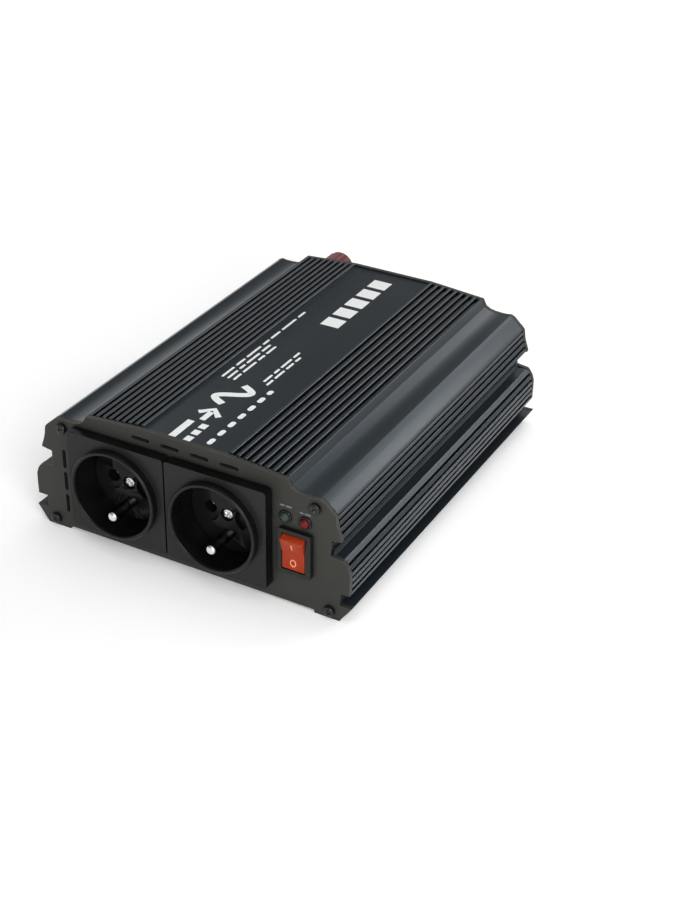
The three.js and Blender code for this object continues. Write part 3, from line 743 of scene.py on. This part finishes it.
def make_rocker_marks():
    """The line and the ring that say on and off, printed on the two faces of the rocker."""
    pivot = at(*ROCKER_PIVOT)
    turn = Matrix.Translation(pivot) @ Matrix.Rotation(math.radians(ROCKER_REST_TILT), 4, "X")
    slope = math.atan2(ROCKER_FACE_DROP, ROCKER_HALF_HEIGHT)
    depth = ROCKER_FRONT - ROCKER_FACE_DROP * MARK_HEIGHT / ROCKER_HALF_HEIGHT - MARK_HALF_DEPTH
    for name, side in (("on", 1), ("off", -1)):
        shape = bmesh.new()
        if name == "on":
            block(shape, (-0.32, -MARK_HALF_DEPTH, -1.6), (0.32, MARK_HALF_DEPTH, 1.6))
        else:
            add_ring(shape, 1.55, 0.3, MARK_HALF_DEPTH, squash=0.8)
        mesh = finish_mesh("rocker_mark_" + name, shape)
        mesh.transform(Matrix.Rotation(side * slope, 4, "X"))
        mesh.transform(Matrix.Translation((0, depth * MM, side * MARK_HEIGHT * MM)))
        mesh.transform(Matrix.Translation(-pivot) @ turn)
        place = Vector((middle("switch_rocker").x, pivot.y, pivot.z))
        piece_from("rocker_mark_" + name, mesh, ROCKER_PRINT, place, body="rocker")


def add_ring(shape, radius, half_width, half_depth, squash, segments=40):
    """A flat ring round the Y axis, narrowed along X by squash."""
    corners = []
    for step in range(segments):
        angle = 2 * math.pi * step / segments
        for r, y in ((radius - half_width, -half_depth), (radius + half_width, -half_depth),
                     (radius + half_width, half_depth), (radius - half_width, half_depth)):
            x, z = r * squash * math.cos(angle), r * math.sin(angle)
            corners.append(shape.verts.new((x * MM, y * MM, z * MM)))
    for step in range(segments):
        near, far = step * 4, (step + 1) % segments * 4
        for i in range(4):
            j = (i + 1) % 4
            shape.faces.new((corners[near + i], corners[near + j], corners[far + j], corners[far + i]))


# ---------------------------------------------------------------- fan

BLADE_COUNT = 7
BLADE_ROOT = 9.0
BLADE_TIP = 22.5
BLADE_STEPS = 8
BLADE_THICKNESS = 0.9
BLADE_SIDES = (-0.5, 0.5)
BLADE_CAMBER = 1.5
BLADE_LEAN = 50
HUB_RADIUS = 9.5
GUARD_RINGS = (7.5, 14.5, 21.5)
GUARD_EYE_RADIUS = 2.6
FAN_SCREW_OFFSET = 20


def blade_corner(blade, side, out, across, middle_y):
    """A corner of a blade, from its shares of the way out and across, in metres."""
    r = BLADE_ROOT + (BLADE_TIP - BLADE_ROOT) * out
    pitch = math.radians(52 - 20 * out)
    along = across - 0.5
    chord = 13.0 + 1.5 * out
    camber = BLADE_CAMBER * (0.25 - along * along) * 4
    taper = BLADE_THICKNESS * (1 - 1.6 * abs(along) ** 2)
    depth = along * chord * math.sin(math.radians(BLADE_LEAN)) * 0.98
    sweep = (along * chord * math.cos(pitch) + camber + side * taper * 1.2) / r
    angle = 2 * math.pi * blade / BLADE_COUNT + sweep + 0.25 * out
    y = middle_y + depth
    return (r * math.cos(angle) * MM, y * MM, r * math.sin(angle) * MM)


def add_blade(shape, blade, middle_y):
    """Two cambered sides and the thin border that joins them."""
    steps = BLADE_STEPS
    corners = {}
    for side in BLADE_SIDES:
        for i in range(steps + 1):
            for k in range(steps + 1):
                corner = blade_corner(blade, side, i / steps, k / steps, middle_y)
                corners[side, i, k] = shape.verts.new(corner)
    for side in BLADE_SIDES:
        for i in range(steps):
            for k in range(steps):
                around = ((i, k), (i + 1, k), (i + 1, k + 1), (i, k + 1))
                shape.faces.new([corners[side, *key] for key in around])
    border = [(i, 0) for i in range(steps)] + [(steps, k) for k in range(steps)]
    border += [(i, steps) for i in range(steps, 0, -1)] + [(0, k) for k in range(steps, 0, -1)]
    one, other = BLADE_SIDES
    for here, following in zip(border, border[1:] + border[:1]):
        shape.faces.new([
            corners[one, *here], corners[one, *following],
            corners[other, *following], corners[other, *here],
        ])


def make_rotor():
    """Thin cambered blades on a hub with a rounded rim and a shallow dish in its cap."""
    low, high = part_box("fan_rotor")
    fan = middle("fan_rotor")
    front = low.y / MM + 1.8
    rear = high.y / MM
    shape = bmesh.new()
    for blade in range(BLADE_COUNT):
        add_blade(shape, blade, (front + rear) / 2)
    blades = finish_mesh("fan_blades", shape, merge=FINE_MERGE)
    hub = turned("fan_hub", [
        (0, front), (HUB_RADIUS - 0.2, front), (HUB_RADIUS, front + 0.3), (HUB_RADIUS, rear - 1.1),
        *arc((HUB_RADIUS - 1.1, rear - 1.1), 1.1, 0, 90, 6),
        (7.6, rear), (7.3, rear - 0.25), (2.2, rear - 0.25), (1.9, rear - 0.6), (0, rear - 0.6),
    ], 56)
    place = Vector((fan.x, 0, fan.z))
    for name, mesh in (("fan_blades", blades), ("fan_hub", hub)):
        piece_from(name, mesh, MATERIALS["fan"], place, "fan_rotor", replaces=("fan_rotor",))


def wire(name, points, radius, closed):
    """A round wire along points, as a mesh."""
    curve = bpy.data.curves.new(name, "CURVE")
    curve.dimensions = "3D"
    curve.bevel_depth = radius
    curve.bevel_resolution = 3
    curve.use_fill_caps = True
    spline = curve.splines.new("POLY")
    spline.points.add(len(points) - 1)
    for slot, point in zip(spline.points, points):
        slot.co = (*point, 1)
    spline.use_cyclic_u = closed
    holder = bpy.data.objects.new(name, curve)
    bpy.context.scene.collection.objects.link(holder)
    bpy.context.view_layer.update()
    mesh = bpy.data.meshes.new_from_object(holder.evaluated_get(bpy.context.evaluated_depsgraph_get()))
    bpy.data.objects.remove(holder)
    return mesh


def circle_points(radius, count=72):
    return [
        (radius * math.cos(2 * math.pi * i / count), 0, radius * math.sin(2 * math.pi * i / count))
        for i in range(count)
    ]


def make_guard():
    """Wire rings behind two crossed wires that are bent into eyes round the fan screws."""
    low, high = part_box("fan_guard")
    radius = (high.y - low.y) / 2 * 0.95
    parts = [wire("ring", circle_points(r * MM), radius, True) for r in GUARD_RINGS]
    eye = GUARD_EYE_RADIUS * MM
    for angle in (45, 135, 225, 315):
        direction = Vector((math.cos(math.radians(angle)), 0, math.sin(math.radians(angle))))
        centre = direction * (math.hypot(FAN_SCREW_OFFSET, FAN_SCREW_OFFSET) * MM)
        parts.append(wire("arm", [(0, 0, 0), tuple(centre - direction * eye)], radius, False))
        loop = [tuple(centre + Vector(point)) for point in circle_points(eye, 32)]
        parts.append(wire("eye", loop, radius, True))
    shape = bmesh.new()
    for part in parts:
        shape.from_mesh(part)
    mesh = finish_mesh("fan_guard_wires", shape)
    place = middle("fan_guard")
    piece_from("fan_guard_wires", mesh, MATERIALS["wire"], place, replaces=("fan_guard",))


# ---------------------------------------------------------------- battery terminals

KNOB_RADIUS = 7.6
KNOB_GRIP_START = 3.0
KNOB_CROWN = 2.2
KNOB_FLUTES = 12
FLUTE_DEPTH = 0.8
STUD_HOLE_RADIUS = 3.3
WASHER_RADIUS = 6.3
BUSH_NECK_RADIUS = 5
BUSH_FLANGE = 4.0
STUD_HEAD = 5
THREAD_START = 5.2
THREAD_PITCH = 1.0


def fluted(count, depth, start, end):
    """Grooves of that depth between two heights, which fade out at both."""
    def radius_at(angle, r, y):
        if r < 5:
            return r
        fade = min(1.0, max(0.0, (y - start) / 1.0)) * min(1.0, max(0.0, (end - y) / 0.6))
        groove = max(0.0, math.cos(count * angle)) ** 3
        return r - depth * groove * fade
    return radius_at


def slot_of(node):
    return next(entry["material_slot"] for entry in frame["record"]["subparts"] if entry["node"] == node)


def seat_and_length(node):
    """The place on a node's axis where its box starts along Y, and its length in millimetres."""
    low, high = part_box(node)
    centre = middle(node)
    return Vector((centre.x, low.y, centre.z)), (high.y - low.y) / MM


def make_knob(color):
    node = f"terminal_{color}_knob"
    place, length = seat_and_length(node)
    hole = STUD_HOLE_RADIUS
    collar = [(hole, 0), (6.4, 0), (6.7, 0.3), (6.7, 2.3), (6.9, 2.7)]
    grip_length = length - 2.6 - KNOB_GRIP_START
    grip = [(KNOB_RADIUS, KNOB_GRIP_START + grip_length * i / 8) for i in range(9)]
    crown = [
        *arc((KNOB_RADIUS - KNOB_CROWN, length - KNOB_CROWN), KNOB_CROWN, 12, 90, 6),
        (3.6, length), (3.3, length - 0.3), (0, length - 0.3),
    ]
    bore = [(0, length - 3.4), (hole, length - 3.4), (hole, 0)]
    flutes = fluted(KNOB_FLUTES, FLUTE_DEPTH, KNOB_GRIP_START, length - 0.8)
    mesh = turned(f"knob_{color}", [*bore, *collar, *grip, *crown], 144, flutes)
    slot = f"{color}_plastic"
    piece_from(f"knob_{color}", mesh, MATERIALS[slot], place, f"{color}_knob", (node,))


def make_washer(color):
    node = f"terminal_{color}_washer"
    place, thickness = seat_and_length(node)
    hole = STUD_HOLE_RADIUS
    edge = WASHER_RADIUS
    mesh = turned(f"washer_{color}", [
        (hole, 0.1), (hole + 0.1, 0), (edge - 0.15, 0), (edge, 0.15),
        (edge, thickness - 0.15), (edge - 0.15, thickness),
        (hole + 0.1, thickness), (hole, thickness - 0.1), (hole, 0.1),
    ], 64)
    slot = slot_of(node)
    piece_from(f"washer_{color}", mesh, MATERIALS[slot], place, f"{color}_washer", (node,))


def make_bush(color):
    node = f"terminal_{color}_bush"
    place, length = seat_and_length(node)
    hole = STUD_HOLE_RADIUS
    neck = BUSH_NECK_RADIUS
    flange = length - BUSH_FLANGE
    mesh = turned(f"bush_{color}", [
        (hole, 0), (neck, 0), (neck, flange), (7.5, flange), (7.6, flange + 0.1), (7.6, length - 0.9),
        *arc((6.9, length - 0.7), 0.7, 0, 90, 5), (hole + 0.3, length), (hole, length - 0.3), (hole, 0),
    ], 64)
    slot = f"{color}_plastic"
    piece_from(f"bush_{color}", mesh, MATERIALS[slot], place, replaces=(node,))


def make_stud(color):
    """A stud with a hexagonal head inside the case, and a rolled thread under the knob."""
    node = f"terminal_{color}_stud"
    place, length = seat_and_length(node)
    profile = [(0, STUD_HEAD), (2.7, STUD_HEAD)]
    for turn in range(int((length - 6.2) / THREAD_PITCH)):
        start = THREAD_START + THREAD_PITCH * turn
        profile += [(2.95, start), (2.95, start + 0.15), (2.55, start + 0.45)]
    profile += [(2.4, length), (0, length)]
    thread = turned("thread", profile, 32)
    head = turned("head", [
        (0, 0.05), (5.2, 0.05), (5.5, 0.3), (5.5, STUD_HEAD - 0.3), (5.2, STUD_HEAD), (0, STUD_HEAD),
    ], 6)
    shape = bmesh.new()
    shape.from_mesh(thread)
    shape.from_mesh(head)
    both = finish_mesh(f"stud_{color}", shape, merge=FINE_MERGE)
    slot = slot_of(node)
    piece_from(f"stud_{color}", both, MATERIALS[slot], place, replaces=(node,))


def make_terminals():
    for color in ("red", "black"):
        make_knob(color)
        make_washer(color)
        make_bush(color)
    for color in ("red", "black"):
        make_stud(color)


# ---------------------------------------------------------------- printed marks

PANEL_TOP = 63.1
PRINT_THICKNESS = 0.02
PRINT_LIFT = 0.005


def print_strip(shape, points, width):
    """A flat stroke along points on the panel, given as (x, y) in millimetres, with square ends."""
    last = len(points) - 1
    sides = []
    for i, (x, y) in enumerate(points):
        before = points[max(i - 1, 0)]
        after = points[min(i + 1, last)]
        along = Vector((after[0] - before[0], after[1] - before[1])).normalized()
        offset = Vector((-along.y, along.x)) * (width / 2)
        sides.append([
            shape.verts.new((px * MM, py * MM, pz * MM))
            for pz in (0, PRINT_THICKNESS)
            for px, py in ((x - offset.x, y - offset.y), (x + offset.x, y + offset.y))
        ])
    for near, far in zip(sides, sides[1:]):
        for a, b in ((0, 1), (1, 3), (3, 2), (2, 0)):
            shape.faces.new((near[a], near[b], far[b], far[a]))
    for end in (sides[0], sides[-1]):
        shape.faces.new((end[0], end[1], end[3], end[2]))


def rounded_bar(shape, x, y, length, width):
    """A bar along Y with round ends."""
    half = width / 2
    outline = []
    for centre, start in ((y + length - half, 0), (y + half, 180)):
        for i in range(9):
            angle = math.radians(start + 180 * i / 8)
            outline.append((x + half * math.cos(angle), centre + half * math.sin(angle)))
    low = [shape.verts.new((px * MM, py * MM, 0)) for px, py in outline]
    high = [shape.verts.new((px * MM, py * MM, PRINT_THICKNESS * MM)) for px, py in outline]
    shape.faces.new(low)
    shape.faces.new(high)
    for i in range(len(outline)):
        j = (i + 1) % len(outline)
        shape.faces.new((low[i], low[j], high[j], high[i]))


PRINT_X = -4.0
STROKE = 3.4
ARROW_STROKE = 2.8
WAVE_HEIGHT = 6.4
WAVE_LENGTH = 18
WAVE_STEPS = 40

# The start and length of each dot in the row beside the symbol.
DOTS = ((5, 5), (13, 5), (21, 5), (29, 5), (37, 5), (45, 5), (53, 4))

# Fine lines of bars: where each lies across the panel, where it starts, and its bars' lengths.
FINE_LINES = (
    (-17, 57, (11, 8, 13, 6, 9, 14, 7)), (-14, 57, (9, 5, 12, 8)), (-11, 57, (7, 12, 6, 9)),
    (1.5, 62, (8, 5, 10, 6)), (4.2, 60, (6, 9, 7, 5)),
)
SQUARE_COUNT = 5
SQUARE_START = 124
SQUARE_PITCH = 11.8


def print_symbol(shape):
    """Direct current, an arrow and alternating current."""
    x = PRINT_X
    print_strip(shape, [(x - 3.6, 3), (x - 3.6, 18)], STROKE)
    for start in (3, 8.6, 14.2):
        print_strip(shape, [(x + 3.6, start), (x + 3.6, start + 3.8)], STROKE)
    print_strip(shape, [(x, 20.5), (x, 28)], ARROW_STROKE)
    print_strip(shape, [(x + 5, 25.6), (x, 30.6), (x - 5, 25.6)], ARROW_STROKE)
    turns = [i / WAVE_STEPS for i in range(WAVE_STEPS + 1)]
    wave = [(x - WAVE_HEIGHT * math.sin(2 * math.pi * t), 36.5 + WAVE_LENGTH * t) for t in turns]
    print_strip(shape, wave, STROKE)


def make_top_print():
    """A symbol, dots, and plain bars and squares where a maker prints its data."""
    shape = bmesh.new()
    print_symbol(shape)
    for start, length in DOTS:
        rounded_bar(shape, 9.0, start, length, 2.4)
    for x, start, runs in FINE_LINES:
        along = start
        for run in runs:
            rounded_bar(shape, x, along, run * 0.93, 1.2)
            along += run + 1.1
    for number in range(SQUARE_COUNT):
        start = SQUARE_START + SQUARE_PITCH * number
        print_strip(shape, [(0, start), (0, start + 8.6)], 9.6)
    lay_print("top_print", shape, at(0, 0, PANEL_TOP + PRINT_LIFT), Matrix(), WHITE_PRINT)


def lay_print(name, shape, place, turn, material):
    """Makes a piece of a print drawn in X and Y, turned to the face it lies on."""
    mesh = finish_mesh(name, shape, merge=FINE_MERGE)
    for polygon in mesh.polygons:
        polygon.use_smooth = False
    mesh.transform(turn)
    piece_from(name, mesh, material, place)


# The start, height and length of each bar over the lamps.
LAMP_BARS = ((46.2, 48.6, 2.2), (49.1, 48.6, 2.6), (55.6, 47.6, 1.6), (57.9, 47.6, 2.8))
SIGN_X = 33.9
PLUS_HEIGHT = 46.6
MINUS_HEIGHT = 22.6
SIGN_REACH = 2.5
SIGN_STROKE = 1.1


def make_plate_prints():
    """Short bars over the two lamps, and plus and minus by the terminals."""
    bars = bmesh.new()
    for x, z, width in LAMP_BARS:
        print_strip(bars, [(x, z), (x + width, z)], 0.8)
    forward = Matrix.Rotation(math.radians(90), 4, "X")
    lay_print("lamp_print", bars, at(0, -PRINT_LIFT, 0), forward, FAINT_PRINT)
    signs = bmesh.new()
    left, right = SIGN_X - SIGN_REACH, SIGN_X + SIGN_REACH
    print_strip(signs, [(left, PLUS_HEIGHT), (right, PLUS_HEIGHT)], SIGN_STROKE)
    for start, end in ((0.56, SIGN_REACH), (-SIGN_REACH, -0.56)):
        print_strip(signs, [(SIGN_X, PLUS_HEIGHT + start), (SIGN_X, PLUS_HEIGHT + end)], SIGN_STROKE)
    print_strip(signs, [(left, MINUS_HEIGHT), (right, MINUS_HEIGHT)], SIGN_STROKE)
    backward = Matrix.Rotation(math.pi, 4, "Z") @ forward
    rear = (REAR_FACE - FRONT_FACE) / MM
    lay_print("terminal_print", signs, at(0, rear + PRINT_LIFT, 0), backward, WHITE_PRINT)


make_camera()
bpy.context.scene.view_settings.view_transform = "Standard"
make_world(1.0, 0.12)

# Each light's place, target and size in metres, and its power in watts.
make_light("key", (0.62, -0.68, 0.57), (0, 0, 0.03), (0.6, 0.6), 7.6)
make_light("top", (-0.1, 0.1, 1.9), (0, 0, 0.03), (2.4, 2.4), 19)
make_light("rim", (0.4, 1.35, 0.92), (0, 0, 0.05), (1.7, 0.5), 9)
make_light("rim_left", (-1.2, 1.15, 0.66), (0, 0, 0.05), (0.5, 0.5), 1.3)
make_light("glint", (0.95, 1.3, 0.72), (0, 0, 0.05), (0.25, 0.2), 1.8)

make_floor()
dress_cad_nodes()
make_screws()
make_earth_pins()
make_lamps()
make_rocker_marks()
make_rotor()
make_guard()
make_terminals()
make_top_print()
make_plate_prints()
